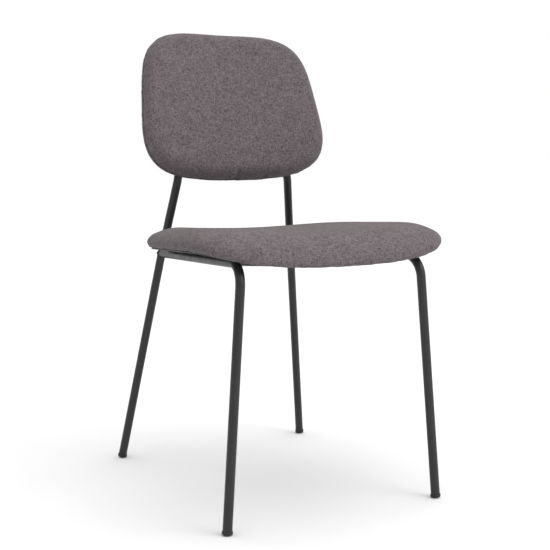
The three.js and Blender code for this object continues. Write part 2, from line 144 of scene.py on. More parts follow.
def setWeaveMap(piece, perPoint):  # the cloth's own directions, in metres
    layer = piece.data.uv_layers.new(name="weave")
    corners = np.empty(len(piece.data.loops), np.int32)
    piece.data.loops.foreach_get("vertex_index", corners)
    layer.uv.foreach_set("vector", perPoint[corners].astype(np.float32).ravel())


def finishPiece(piece, material, slot, *nodes):
    piece.data.materials.clear()
    piece.data.materials.append(material)
    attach(piece, "root")
    if nodes:
        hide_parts(*nodes)


# materials

def newMaterial(name):
    material = bpy.data.materials.new(name)
    material.use_nodes = True
    tree = material.node_tree
    return material, tree, tree.nodes["Principled BSDF"]


def put(tree, kind, settings=None, **inputs):
    node = tree.nodes.new("ShaderNode" + kind)
    for key, value in (settings or {}).items():
        setattr(node, key, value)
    for key, value in inputs.items():
        socket = node.inputs[int(key[1:])] if key[0] == "i" and key[1:].isdigit() else node.inputs[key]
        if isinstance(value, bpy.types.NodeSocket):
            tree.links.new(value, socket)
        else:
            socket.default_value = value
    return node


def sums(tree, operation, *values):
    inputs = {f"i{i}": value for i, value in enumerate(values)}
    return put(tree, "Math", {"operation": operation}, **inputs).outputs[0]


def blendColours(tree, factor, first, second, mode="MIX"):
    node = put(tree, "Mix", {"data_type": "RGBA", "blend_type": mode}, i0=factor)
    for index, value in ((6, first), (7, second)):
        if isinstance(value, bpy.types.NodeSocket):
            tree.links.new(value, node.inputs[index])
        else:
            node.inputs[index].default_value = (*value, 1)
    return node.outputs[2]


def stretch(tree, source, low, high, toLow=0.0, toHigh=1.0):
    return put(tree, "MapRange", None, i0=source, i1=low, i2=high, i3=toLow, i4=toHigh).outputs[0]


def surfaceNoise(tree, scale, detail=2.0, stretched=(1, 1, 1)):
    place = put(tree, "TexCoord").outputs["Object"]
    mapped = put(tree, "Mapping", None, Vector=place, Scale=stretched).outputs[0]
    return put(tree, "TexNoise", None, Vector=mapped, Scale=scale, Detail=detail).outputs[0]


def addBump(tree, shader, height, distance, strength):
    bump = put(tree, "Bump", None, Height=height, Distance=distance, Strength=strength)
    tree.links.new(bump.outputs[0], shader.inputs["Normal"])


clothLook = {
    "pitch": 1.5 * mm,  # from one thread to the next
    "slub": 5.0,  # threads that a streak runs for
    "dark": (0.050, 0.0425, 0.045),
    "light": (0.205, 0.174, 0.182),
    "thread height": 0.4 * mm,
    "sheen": 0.08,
    "sheen tint": (0.66, 0.78, 0.68, 1),
}


def wovenCloth():
    look = clothLook
    material, tree, shader = newMaterial("woven_cloth")
    along = put(tree, "UVMap", {"uv_map": "weave"}).outputs[0]
    scaled = put(tree, "VectorMath", {"operation": "SCALE"}, Vector=along, Scale=1 / look["pitch"]).outputs[0]
    split = put(tree, "SeparateXYZ", None, Vector=scaled).outputs
    across, up = split[0], split[1]
    column, row = sums(tree, "FLOOR", across), sums(tree, "FLOOR", up)
    over = sums(tree, "FLOORED_MODULO", sums(tree, "ADD", column, row), 2.0)
    ownWarp = sums(tree, "MULTIPLY", column, 17.13)  # each thread has its own tone
    ownWeft = sums(tree, "MULTIPLY", row, 13.71)
    warp = put(tree, "CombineXYZ", None, X=ownWarp, Y=sums(tree, "DIVIDE", up, look["slub"]), Z=3.0)
    weft = put(tree, "CombineXYZ", None, X=sums(tree, "DIVIDE", across, look["slub"]), Y=ownWeft, Z=9.0)
    warpTone = put(tree, "TexNoise", None, Vector=warp.outputs[0], Scale=1.0, Detail=1.0).outputs[0]
    weftTone = put(tree, "TexNoise", None, Vector=weft.outputs[0], Scale=1.0, Detail=1.0).outputs[0]
    tone = put(tree, "Mix", None, i0=over, i2=warpTone, i3=weftTone).outputs[0]
    thread = blendColours(tree, stretch(tree, tone, 0.28, 0.72), look["dark"], look["light"])
    mottle = stretch(tree, surfaceNoise(tree, 45.0, 3.0), 0.3, 0.7)
    worn = blendColours(tree, mottle, (0.93, 0.93, 0.93), (1.07, 1.07, 1.07))
    colour = blendColours(tree, 1.0, thread, worn, "MULTIPLY")
    tree.links.new(colour, shader.inputs["Base Color"])
    crownX = sums(tree, "SINE", sums(tree, "MULTIPLY", sums(tree, "FRACT", across), math.pi))
    crownY = sums(tree, "SINE", sums(tree, "MULTIPLY", sums(tree, "FRACT", up), math.pi))
    crown = sums(tree, "MULTIPLY", crownX, crownY)
    fuzz = surfaceNoise(tree, 1900.0, 2.0)
    height = sums(tree, "ADD", sums(tree, "ADD", crown, tone), sums(tree, "MULTIPLY", fuzz, 0.5))
    addBump(tree, shader, height, look["thread height"], 0.55)
    shader.inputs["Roughness"].default_value = 0.95
    shader.inputs["Specular IOR Level"].default_value = 0.12
    shader.inputs["Sheen Weight"].default_value = look["sheen"]
    shader.inputs["Sheen Roughness"].default_value = 0.42
    shader.inputs["Sheen Tint"].default_value = look["sheen tint"]
    return material


powderLook = {
    "dark": (0.0150, 0.0140, 0.0140),
    "light": (0.0230, 0.0215, 0.0212),
    "roughness": (0.34, 0.46),
}


def powderCoat():
    look = powderLook
    material, tree, shader = newMaterial("powder_coat")
    speck = surfaceNoise(tree, 900.0, 3.0)
    colour = blendColours(tree, stretch(tree, speck, 0.3, 0.7), look["dark"], look["light"])
    tree.links.new(colour, shader.inputs["Base Color"])
    patches = stretch(tree, surfaceNoise(tree, 60.0), 0.3, 0.7, *look["roughness"])
    tree.links.new(patches, shader.inputs["Roughness"])
    addBump(tree, shader, speck, 0.12 * mm, 0.35)
    shader.inputs["Specular IOR Level"].default_value = 0.4
    return material


def mattePlastic():
    material, tree, shader = newMaterial("matte_plastic")
    grain = surfaceNoise(tree, 2200.0, 2.0)
    fleck = stretch(tree, grain, 0.3, 0.7)
    colour = blendColours(tree, fleck, (0.010, 0.010, 0.0105), (0.016, 0.016, 0.0165))
    tree.links.new(colour, shader.inputs["Base Color"])
    tree.links.new(stretch(tree, surfaceNoise(tree, 140.0), 0.3, 0.7, 0.5, 0.68), shader.inputs["Roughness"])
    addBump(tree, shader, grain, 0.08 * mm, 0.4)
    return material


def lacqueredPly():
    material, tree, shader = newMaterial("black_lacquered_plywood")
    grain = surfaceNoise(tree, 60.0, 4.0, (14, 0.8, 30))
    colour = blendColours(tree, stretch(tree, grain, 0.3, 0.7), (0.009, 0.009, 0.0095), (0.021, 0.020, 0.020))
    tree.links.new(colour, shader.inputs["Base Color"])
    tree.links.new(stretch(tree, grain, 0.3, 0.7, 0.38, 0.58), shader.inputs["Roughness"])
    addBump(tree, shader, grain, 0.15 * mm, 0.3)
    return material


def barePly():
    material, tree, shader = newMaterial("bare_plywood")
    grain = surfaceNoise(tree, 55.0, 4.0, (12, 0.8, 12))
    colour = blendColours(tree, stretch(tree, grain, 0.3, 0.7), (0.42, 0.27, 0.13), (0.58, 0.41, 0.23))
    tree.links.new(colour, shader.inputs["Base Color"])
    addBump(tree, shader, grain, 0.2 * mm, 0.4)
    shader.inputs["Roughness"].default_value = 0.65
    return material


def zincSteel():
    material, tree, shader = newMaterial("zinc_steel")
    brushed = surfaceNoise(tree, 400.0, 3.0, (1, 1, 6))
    colour = blendColours(tree, stretch(tree, brushed, 0.3, 0.7), (0.40, 0.41, 0.42), (0.58, 0.59, 0.60))
    tree.links.new(colour, shader.inputs["Base Color"])
    tree.links.new(stretch(tree, brushed, 0.3, 0.7, 0.28, 0.45), shader.inputs["Roughness"])
    addBump(tree, shader, brushed, 0.05 * mm, 0.3)
    shader.inputs["Metallic"].default_value = 1
    return material


cloth = wovenCloth()
coat = powderCoat()
plastic = mattePlastic()
blackPly = lacqueredPly()
ply = barePly()
steel = zincSteel()
print("materials made")


# the chair's lines, as the frame has them

lines = {
    "tube": 8,
    "cross rail": 6,
    "foot": 204.5,
    "front foot": -243.5,
    "rear foot": 257.2,
    "front bend": (171.3, -230.6, 433.5),
    "rear kink": (142, 186, 416),
    "front bend radius": 38,
    "kink radius": 160,
    "upright lean": 12,
    "upright tilt": 9.2,
    "upright bend radius": 42,
    "upright run": 170,
    "inside tilt": 8,
    "cross rails": {"front": -160, "rear": 128},
    "dish": 2040,
    "seat middle": -48.7,
    "front fall": (-132, -266.2, 20.6),  # where it starts, where it ends, and how deep it is there
    "rear fall": (40, 10000),  # where it starts, and its radius
    "seat clearance": 0.9,
    "back bottom": (0, 153.2, 557.5),
    "back half height": 147,
    "back lean": 15.7,
    "back curve": 600,
    "upright depth": 12.5,
}

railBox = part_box("cross_rail_front")
railMiddle = (railBox[0].y + railBox[1].y) / 2
slide = Vector((0, railMiddle - lines["cross rails"]["front"] * mm, 0))  # from the lines to the frame
bendX, bendY, bendZ = lines["front bend"]
kinkX, kinkY, kinkZ = lines["rear kink"]
railSlope = (kinkZ - bendZ) / (kinkY - bendY)


def railX(y):
    return bendX + (kinkX - bendX) * (y - bendY) / (kinkY - bendY)


def railZ(y):
    return bendZ + railSlope * (y - bendY)


def seatBase(x, y):  # height of the seat panel's underside
    dish = (x * x - kinkX * kinkX) / (2 * lines["dish"])
    (frontY, edgeY, drop), (rearY, rearRadius) = lines["front fall"], lines["rear fall"]
    fall = drop * (np.maximum(frontY - y, 0) / (frontY - edgeY)) ** 3
    fall = fall + np.maximum(y - rearY, 0) ** 2 / (2 * rearRadius)
    return railZ(y) + lines["tube"] + lines["seat clearance"] + dish - fall


def seatNormal(x, y):
    slopeX = (seatBase(x + 1, y) - seatBase(x - 1, y)) / 2
    slopeY = (seatBase(x, y + 1) - seatBase(x, y - 1)) / 2
    return Vector((-slopeX, -slopeY, 1)).normalized()


leanAngle = math.radians(lines["back lean"])
backUp = np.array((0, math.sin(leanAngle), math.cos(leanAngle)))
backRear = np.array((0, math.cos(leanAngle), -math.sin(leanAngle)))
backCentre = np.array(lines["back bottom"]) + backUp * lines["back half height"]


def backPoint(x, v, w):
    return backCentre + np.array((x, 0, 0)) + backUp * v + backRear * (w - x * x / (2 * lines["back curve"]))


def inRow(point):  # millimetres of the lines to metres of the frame
    return Vector([float(c) for c in point]) * mm + slide


def onSeat(points):  # flat seat shapes, in metres, laid over the seat panel's curve
    x, y, h = (points / mm).T
    y = y + lines["seat middle"]
    placed = np.stack((x, y, seatBase(x, y) + h), 1) * mm
    return placed + np.array(slide)


def onBack(points, side):  # side is -1 for what lies ahead of the seam, and 1 for what lies behind it
    x, v, h = (points / mm).T
    depth = h * side - x * x / (2 * lines["back curve"])
    placed = backCentre + np.outer(v, backUp) + np.outer(depth, backRear)
    placed[:, 0] += x
    return placed * mm + np.array(slide)


# tubes

def bentTube(name, radius, corners, bends, sides=32):  # straight runs are extruded, bends are spun
    deselectAll()
    heading = (corners[1] - corners[0]).normalized()
    bpy.ops.mesh.primitive_circle_add(
        vertices=sides, radius=radius, location=corners[0],
        rotation=heading.to_track_quat("Z", "Y").to_euler(),
    )
    tube = newest(name)
    bpy.ops.object.mode_set(mode="EDIT")
    bpy.ops.mesh.select_all(action="SELECT")
    place = corners[0]
    for corner, following, bendRadius in zip(corners[1:-1], corners[2:], bends):
        before = (corner - place).normalized()
        leaving = (following - corner).normalized()
        angle = before.angle(leaving)
        reach = bendRadius * math.tan(angle / 2)
        start = corner - before * reach
        axis = before.cross(leaving).normalized()
        centre = start + axis.cross(before) * bendRadius
        bpy.ops.mesh.extrude_region_move(TRANSFORM_OT_translate={"value": start - place})
        bpy.ops.mesh.spin(steps=max(6, int(angle * 12)), angle=-angle, center=centre, axis=axis)
        place = corner + leaving * reach
    bpy.ops.mesh.extrude_region_move(TRANSFORM_OT_translate={"value": corners[-1] - place})
    bpy.ops.object.mode_set(mode="OBJECT")
    return tube


def closeEnds(tube):
    takeUp(tube)
    bpy.ops.object.mode_set(mode="EDIT")
    bpy.ops.mesh.select_all(action="SELECT")
    bpy.ops.mesh.fill_holes(sides=0)
    faceOut()
    smoothShade(tube)


def reachTo(point, direction, centre, axis, radius):  # how far along direction a cylinder's surface is
    side = (point - centre) - axis * (point - centre).dot(axis)
    run = direction - axis * direction.dot(axis)
    a, b, c = run.dot(run), 2 * side.dot(run), side.dot(side) - radius * radius
    return (-b - math.sqrt(max(b * b - 4 * a * c, 0))) / (2 * a)


def copeEnd(tube, end, direction, centre, axis, radius):  # cuts the end to sit on the round tube it meets
    for vertex in tube.data.vertices:
        if (vertex.co - end).length < radius * 1.3:
            back = vertex.co - direction * (2 * radius)
            vertex.co = back + direction * reachTo(back, direction, centre, axis, radius)


weldShape = {"outside tube": 0.5, "thickness": 1.5, "lift": 0.3, "ripples": 22, "ripple": 0.12}


def weldBead(name, end, direction, tubeRadius, centre, axis, radius):
    w = weldShape
    beadRadius = tubeRadius + w["outside tube"] * mm
    deselectAll()
    bpy.ops.mesh.primitive_torus_add(
        major_segments=64, minor_segments=10, major_radius=beadRadius, minor_radius=w["thickness"] * mm,
        location=end, rotation=direction.to_track_quat("Z", "Y").to_euler(),
    )
    bead = newest(name)
    for vertex in bead.data.vertices:
        offset = vertex.co - end
        level = offset.dot(direction)
        flat = offset - direction * level
        ring = end + flat.normalized() * beadRadius - direction * (3 * radius)
        turn = math.atan2(flat.cross(axis).dot(direction), flat.dot(axis))
        wave = 1 + w["ripple"] * math.sin(w["ripples"] * turn)
        saddle = ring + direction * reachTo(ring, direction, centre, axis, radius + w["lift"] * mm)
        thick = flat.normalized() * (flat.length - beadRadius) + direction * level
        vertex.co = saddle + thick * wave
    smoothShade(bead, 60)
    finishPiece(bead, coat, "frame")


glideShape = {
    "radius": 9,
    "dome": 20,
    "flat": 0.3,  # how far the floor cuts into the dome
    "head": 7,
    "tube gap": 0.3,
    "stem": 6.2,
    "stem length": 14,
    "edge": 0.7,
}


def glideBase(foot, axis):
    dome = glideShape["dome"]
    return foot + axis * ((dome - glideShape["flat"]) / axis.z - dome)


def makeGlide():
    shape = glideShape
    radius, height, domeSteps = 0.8, 0.0, 8
    deselectAll()
    bpy.ops.mesh.primitive_circle_add(vertices=40, radius=radius * mm, fill_type="NGON")
    glide = newest("glide_pattern")
    bpy.ops.object.mode_set(mode="EDIT")
    bpy.ops.mesh.select_all(action="SELECT")
    widest = math.asin(shape["radius"] / shape["dome"])
    for step in range(1, domeSteps + 1):
        angle = widest * step / domeSteps
        target, level = shape["dome"] * math.sin(angle), shape["dome"] * (1 - math.cos(angle))
        growFace(target / radius, target / radius, (level - height) * mm)
        radius, height = target, level
    growFace(1, 1, (shape["head"] - height) * mm)
    pick("EDGE", lambda e: all(abs(v.co.z - shape["head"] * mm) < 1e-6 for v in e.verts))
    bpy.ops.mesh.bevel(offset=shape["edge"] * mm, segments=3, affect="EDGES")
    pick("FACE", lambda f: f.normal.z > 0.99 and len(f.verts) > 8)
    growFace(shape["stem"] / shape["radius"], shape["stem"] / shape["radius"], 0)
    growFace(1, 1, shape["stem length"] * mm)
    pick("EDGE", lambda e: all(0 < v.co.z < 3 * mm for v in e.verts) and e.calc_face_angle(0) > 0.5)
    bpy.ops.mesh.bevel(offset=0.5 * mm, segments=2, affect="EDGES")
    faceOut()
    return glide


def growFace(scaleX, scaleY, rise):  # extrudes the picked face upwards, and scales it about the middle
    bpy.ops.mesh.extrude_region_move(TRANSFORM_OT_translate={"value": (0, 0, rise)})
    bpy.ops.transform.resize(value=(scaleX, scaleY, 1), center_override=(0, 0, 0))


def alignTo(origin, axis):  # a frame whose Z is the axis, and whose X stays near the row's X
    side = Vector((1, 0, 0))
    side = (side - axis * side.dot(axis)).normalized()
    turn = Matrix((side, axis.cross(side), axis)).transposed().to_4x4()
    return Matrix.Translation(origin) @ turn


glidePattern = makeGlide()
tube = lines["tube"] * mm
for sideName, side in (("left", 1), ("right", -1)):
    frontFoot = Vector((side * lines["foot"], lines["front foot"], 0))
    rearFoot = Vector((side * lines["foot"], lines["rear foot"], 0))
    bend = Vector((side * bendX, bendY, bendZ))
    kink = Vector((side * kinkX, kinkY, kinkZ))
    frontAxis, rearAxis = (bend - frontFoot).normalized(), (kink - rearFoot).normalized()
    tilt, lean = math.radians(lines["upright tilt"]), math.radians(lines["upright lean"])
    rise = Vector((-side * math.tan(tilt), -math.tan(lean), 1))
    upright = kink.copy()
    for attempt in range(12):  # up to where the upright's line meets the back panel's curve
        depth = (np.array(upright) - backCentre) @ backRear
        wanted = lines["upright depth"] - upright.x ** 2 / (2 * lines["back curve"])
        upright += rise * ((wanted - depth) / float(np.array(rise) @ backRear))
    insideTilt = math.radians(lines["inside tilt"])
    run = lines["upright run"]
    level = (np.array(upright) - backCentre) @ backUp + run * math.cos(insideTilt)
    top = Vector(backPoint(upright.x - side * run * math.sin(insideTilt), level, lines["upright depth"]))
    bases = {
        "front": (glideBase(frontFoot, frontAxis), frontAxis),
        "rear": (glideBase(rearFoot, rearAxis), rearAxis),
    }
    clear = glideShape["head"] + glideShape["tube gap"]
    starts = {end: base + axis * clear for end, (base, axis) in bases.items()}

    rear = bentTube(
        f"rear_leg_{sideName}", tube, [inRow(p) for p in (starts["rear"], kink, upright, top)],
        [lines["kink radius"] * mm, lines["upright bend radius"] * mm],
    )
    closeEnds(rear)
    finishPiece(rear, coat, "frame", f"rear_tube_{sideName}")

    rail = bentTube(
        f"front_leg_and_rail_{sideName}", tube, [inRow(p) for p in (starts["front"], bend, kink)],
        [lines["front bend radius"] * mm],
    )
    railWay = (kink - bend).normalized()
    kinkMiddle = inRow(kink)
    kinkAxis = (rearAxis + rise.normalized()).normalized()
    bulge = lines["kink radius"] * mm * (1 / math.cos(rearAxis.angle(rise) / 2) - 1)
    kinkMiddle += (rise.normalized() - rearAxis).normalized() * bulge
    copeEnd(rail, inRow(kink), railWay, kinkMiddle, kinkAxis, tube)
    closeEnds(rail)
    finishPiece(rail, coat, "frame", f"side_tube_{sideName}")
    weldBead(f"rail_weld_{sideName}", inRow(kink), railWay, tube, kinkMiddle, kinkAxis, tube)

    for end, (base, axis) in bases.items():
        glide = copyAs(glidePattern, f"floor_glide_{end}_{sideName}", alignTo(inRow(base), axis))
        takeUp(glide)
        bpy.ops.object.mode_set(mode="EDIT")
        bpy.ops.mesh.select_all(action="SELECT")
        bpy.ops.mesh.bisect(plane_co=(0, 0, 0), plane_no=(0, 0, 1), use_fill=True, clear_inner=True)
        faceOut()
        smoothShade(glide)
        finishPiece(glide, plastic, "glide", f"glide_{end}_{sideName}")
bpy.data.objects.remove(glidePattern)

for end, y in lines["cross rails"].items():
    halfSpan = railX(y)
    middleZ = railZ(y) - halfSpan ** 2 / (2 * lines["dish"])
    half = math.asin(halfSpan / lines["dish"])
    centre = inRow((0, y, middleZ + lines["dish"]))
    start = centre + Vector((-math.sin(half), 0, -math.cos(half))) * (lines["dish"] * mm)
    deselectAll()
    bpy.ops.mesh.primitive_circle_add(
        vertices=28, radius=lines["cross rail"] * mm, location=start,
        rotation=Vector((math.cos(half), 0, -math.sin(half))).to_track_quat("Z", "Y").to_euler(),
    )
    cross = newest(f"rolled_cross_rail_{end}")
    bpy.ops.object.mode_set(mode="EDIT")
    bpy.ops.mesh.select_all(action="SELECT")
    bpy.ops.mesh.spin(steps=14, angle=2 * half, center=centre, axis=(0, 1, 0))
    bpy.ops.object.mode_set(mode="OBJECT")
    for sideName, side in (("left", 1), ("right", -1)):
        at = inRow((side * halfSpan, y, railZ(y)))
        way = Vector((side * math.cos(half), 0, math.sin(half)))
        railAxis = Vector((side * (kinkX - bendX), kinkY - bendY, kinkZ - bendZ)).normalized()
        copeEnd(cross, at, way, at, railAxis, tube)
        weldBead(f"cross_weld_{end}_{sideName}", at, way, lines["cross rail"] * mm, at, railAxis, tube)
    closeEnds(cross)
    finishPiece(cross, coat, "frame", f"cross_rail_{end}")
print("tubes bent and welded")


# outlines of the seat and the back

def outline(count, half, taper, powers):
    angle = (np.arange(count) + 0.5) / count * 2 * math.pi
    power = 2 / np.where(np.sin(angle) > 0, powers[0], powers[1])
    up = np.sign(np.sin(angle)) * np.abs(np.sin(angle)) ** power
    side = np.sign(np.cos(angle)) * np.abs(np.cos(angle)) ** power
    return np.stack(((1 - taper * up) * side * half[0], up * half[1]), 1) * mm


def layered(name, shape, rings, count=120):  # a form through rings of [inset, scale, height]
    halfX, halfY = shape["half"]
    sizes = [((halfX - inset) * k / halfX, (halfY - inset) * k / halfY, height) for inset, k, height in rings]
    deselectAll()
    bpy.ops.mesh.primitive_circle_add(vertices=count, radius=halfX * mm, fill_type="NGON")
    form = newest(name)
    edge = outline(count, shape["half"], shape["taper"], shape["powers"])
    flat = np.column_stack((edge * np.array(sizes[0][:2]), np.full(count, sizes[0][2] * mm)))
    setPoints(form, flat)
    bpy.ops.object.mode_set(mode="EDIT")
    bpy.ops.mesh.select_all(action="SELECT")
    for before, after in zip(sizes, sizes[1:]):
        growFace(after[0] / before[0], after[1] / before[1], (after[2] - before[2]) * mm)
    faceOut()
    return form


def edgeDirection(x, y, shape):  # straight out from the outline, for a point on or in it
    halfX, halfY = (h * mm for h in shape["half"])
    power = min(shape["powers"]) - 1
    outX = np.sign(x) * np.abs(x / halfX) ** power / halfX
    outY = np.sign(y) * np.abs(y / halfY) ** power / halfY
    length = np.hypot(outX, outY) + 1e-9
    return np.stack((outX / length, outY / length), 1)


def evenMesh(piece, size):
    modifier = piece.modifiers.new("even", "REMESH")
    modifier.mode = "VOXEL"
    modifier.voxel_size = size
    applyAll(piece)


def swell(piece, shape, held):  # stuffing pushes the cover out between where it is held
    frames = 20
    start = pointsOf(piece)
    group = piece.vertex_groups.new(name="held")
    group.add([int(i) for i in np.nonzero(held(start))[0]], 1.0, "REPLACE")
    stuffing = piece.modifiers.new("stuffing", "CLOTH")
    stuffing.settings.use_pressure = True
    stuffing.settings.uniform_pressure_force = shape["pressure"]
    stuffing.settings.effector_weights.gravity = 0
    stuffing.settings.vertex_group_mass = "held"
    stuffing.settings.quality = 5
    for step in range(1, frames + 1):
        scene.frame_set(step)
    applyAll(piece)
    moved = pointsOf(piece) - start
    far = np.linalg.norm(moved, axis=1, keepdims=True)
    most = shape["cap"] * mm
    setPoints(piece, start + moved * np.minimum(1, most / np.maximum(far, 1e-9)))
    scene.frame_set(1)
    piece.vertex_groups.clear()


def subdivide(piece, levels=1):
    finer = piece.modifiers.new("finer", "SUBSURF")
    finer.levels = levels
    finer.render_levels = levels
    applyAll(piece)


def ripple(x, y, shape, waves):  # an uneven run round the edge, the same each time
    angle = np.arctan2(y / shape["half"][1], x / shape["half"][0])
    return sum(size * np.sin(count * angle + shift) for count, size, shift in waves)


def edgeRound(depth, edge, offset, low=0.0, power=2.0, steps=9):
    angles = [low + (math.pi / 2 - low) * i / steps for i in range(steps + 1)]
    turns = [(max(math.cos(a), 0) ** (2 / power), math.sin(a) ** (2 / power)) for a in angles]
    return [(offset + edge * (1 - across), 1, (depth - offset) * up) for across, up in turns]


def fitToSize(pad, shape, top):  # the stuffed cover is drawn back to its own outline and height
    points = pointsOf(pad)
    edge = outline(400, shape["half"], shape["taper"], shape["powers"])
    for axis in (0, 1):
        points[:, axis] *= np.ptp(edge[:, axis]) / np.ptp(points[:, axis])
        points[:, axis] += edge[:, axis].max() - points[:, axis].max()
    low = 8 * mm
    high = points[:, 2] > low
    points[high, 2] = low + (points[high, 2] - low) * (top * mm - low) / (points[:, 2].max() - low)
    setPoints(pad, points)


def softPad(name, shape, rings, held, soften, top):
    pad = layered(name, shape, rings)
    evenMesh(pad, shape["voxel"] * mm)
    swell(pad, shape, held)
    subdivide(pad)
    fitToSize(pad, shape, top)
    soften(pad)
    return pad


padClearance = 0.6  # between a pad and the panel inside it


# seat

seatShape = {
    "half": (235, 217.5),
    "taper": 0.082,
    "powers": (3.35, 4.2),  # towards the rear, towards the front
    "thickness": 43.1,
    "middle": 12.6,  # height where it is widest
    "top edge": 56,
    "top power": 1.8,
    "lower edge": 17.5,
    "dome": 1.3,
    "panel": 10,
    "panel inset": 16,
    "hem": 2,
    "voxel": 5,
    "pressure": 4,
    "cap": 1.8,
    "start smaller": 1.4,
}


def seatRings():
    s = seatShape
    smaller, middle = s["start smaller"], s["middle"]
    rim, under = s["panel inset"] - padClearance, s["panel"] + padClearance
    rings = [(rim, k, under) for k in (0.2, 0.5, 0.8, 1)] + [(rim, 1, s["hem"])]
    lowest = math.asin((middle - s["hem"]) / (middle - smaller))
    steps = 6
    for i in range(steps):
        angle = lowest * (1 - i / steps)
        inset = smaller + s["lower edge"] * (1 - math.cos(angle))
        rings.append((inset, 1, middle - (middle - smaller) * math.sin(angle)))
    crown = s["thickness"] - middle
    side = edgeRound(crown, s["top edge"], smaller, power=s["top power"])
    rings += [(inset, k, middle + h) for inset, k, h in side]
    top, inset = s["thickness"] - smaller, smaller + s["top edge"]
    return rings + [(inset, k, top + s["dome"] * (1 - k * k)) for k in (0.85, 0.65, 0.4, 0.15)]


def softenSeat(pad):
    s = seatShape
    points, normals = pointsOf(pad), normalsOf(pad)
    x, y, h = (points / mm).T
    low = np.exp(-np.maximum(h - 6, 0) / 7) * (h > 3)
    waves = ((31, 0.16, 0.4), (47, 0.13, 2.1), (71, 0.10, 4.0), (103, 0.07, 1.3))
    push = ripple(x, y, s, waves) * low
    push += 0.35 * np.sin(x / 37 + 0.6) * np.sin(y / 44 + 1.9) * (h > 30)  # the crown isn't quite even
    points = points + normals * (push * mm)[:, None]
    setPoints(pad, points)
    drop = np.maximum(s["thickness"] - h, 0) + np.maximum(s["middle"] - h, 0) * 0.6
    setWeaveMap(pad, points[:, :2] + edgeDirection(points[:, 0], points[:, 1], s) * (drop * mm)[:, None])


def heldSeat(points):
    return points[:, 2] < 5 * mm


seatTop = seatShape["thickness"] + seatShape["dome"]
seatPad = softPad("seat_pad", seatShape, seatRings(), heldSeat, softenSeat, seatTop)
setPoints(seatPad, onSeat(pointsOf(seatPad)))
smoothShade(seatPad, 60)
finishPiece(seatPad, cloth, "cover", "seat_cover", "seat_foam")

weltShape = {"radius": 1.3, "height": 1.8, "inset": 8.2, "turns": 480}


def makeWelt():
    w, s = weltShape, seatShape
    sides, firstRadius = 12, 0.2
    deselectAll()
    bpy.ops.mesh.primitive_torus_add(
        major_segments=w["turns"], minor_segments=sides,
        major_radius=firstRadius, minor_radius=w["radius"] * mm,
    )
    welt = newest("seat_welt_cord")
    line = outline(w["turns"], [h - w["inset"] for h in s["half"]], s["taper"], s["powers"])
    line = resample(line, w["turns"])
    ahead = np.roll(line, -1, 0) - np.roll(line, 1, 0)
    out = np.stack((ahead[:, 1], -ahead[:, 0]), 1)
    out /= np.linalg.norm(out, axis=1, keepdims=True)
    points = pointsOf(welt)
    number = np.arange(len(points)) // sides
    radial = np.hypot(points[:, 0], points[:, 1]) - firstRadius
    plane = line[number] + out[number] * radial[:, None]
    setPoints(welt, np.column_stack((plane, points[:, 2] + w["height"] * mm)))
    run = np.concatenate(([0], np.cumsum(np.linalg.norm(np.diff(line, axis=0), axis=1))))
    wrapped = np.arctan2(points[:, 2], radial) * w["radius"] * mm + radial
    setWeaveMap(welt, np.stack((run[number] + radial, wrapped), 1))
    takeUp(welt)
    bpy.ops.object.mode_set(mode="EDIT")
    faceOut()
    setPoints(welt, onSeat(pointsOf(welt)))
    smoothShade(welt, 60)
    finishPiece(welt, cloth, "cover", "seat_welt")


def resample(line, count):  # the same closed line, with its points evenly apart
    closed = np.vstack((line, line[:1]))
    run = np.concatenate(([0], np.cumsum(np.linalg.norm(np.diff(closed, axis=0), axis=1))))
    wanted = np.arange(count) / count * run[-1]
    return np.stack((np.interp(wanted, run, closed[:, 0]), np.interp(wanted, run, closed[:, 1])), 1)


makeWelt()


def makeSeatPanel():
    s = seatShape
    inset, thick = s["panel inset"], s["panel"]
    rings = [(inset, k, 0) for k in (0.12, 0.35, 0.6, 0.8, 0.93, 1)]
    rings += [(inset, k, thick) for k in (1, 0.93, 0.8, 0.6, 0.35, 0.12)]
    panel = layered("lacquered_seat_panel", s, rings, 160)
    takeUp(panel)
    bpy.ops.object.mode_set(mode="EDIT")
    pick("EDGE", lambda e: e.calc_face_angle(0) > 1.2 and abs(e.verts[0].co.z - e.verts[1].co.z) < 1e-6)
    bpy.ops.mesh.bevel(offset=1.2 * mm, segments=3, affect="EDGES")
    faceOut()
    setPoints(panel, onSeat(pointsOf(panel)))
    smoothShade(panel)
    finishPiece(panel, blackPly, "black_plywood", "seat_panel")


makeSeatPanel()
print("seat upholstered")


# seat fixings

fixingShape = {
    "tab": (33, 36, 3),  # reach, length, thickness
    "tab gap": 0.3,  # under the panel
    "hole inset": 13,
    "rows": {"front": -118, "rear": 88},
    "washer": (7.5, 1.6),
    "washer drop": 3.6,  # from the panel's underside
    "head": (5.6, 3.2),
    "head drop": 5.5,
    "socket": (2.3, 2),
}


def makeTab():
    reach, length, thick = (v * mm for v in fixingShape["tab"])
    holeInset = fixingShape["hole inset"] * mm
    outer = reach - holeInset - 4 * mm
    deselectAll()
    level = -thick / 2 - fixingShape["tab gap"] * mm
    bpy.ops.mesh.primitive_cube_add(
        size=1, location=((outer - holeInset) / 2, 0, level), scale=(outer + holeInset, length, thick),
    )
    tab = newest("tab_pattern")
    bpy.ops.object.mode_set(mode="EDIT")
    pick("EDGE", lambda e: abs(e.verts[0].co.z - e.verts[1].co.z) > thick / 2 and e.verts[0].co.x < 0)
    bpy.ops.mesh.bevel(offset=8 * mm, segments=6, affect="EDGES")
    pick("EDGE", lambda e: e.calc_face_angle(0) > 1)
    bpy.ops.mesh.bevel(offset=0.4 * mm, segments=2, affect="EDGES")
    faceOut()
    return tab


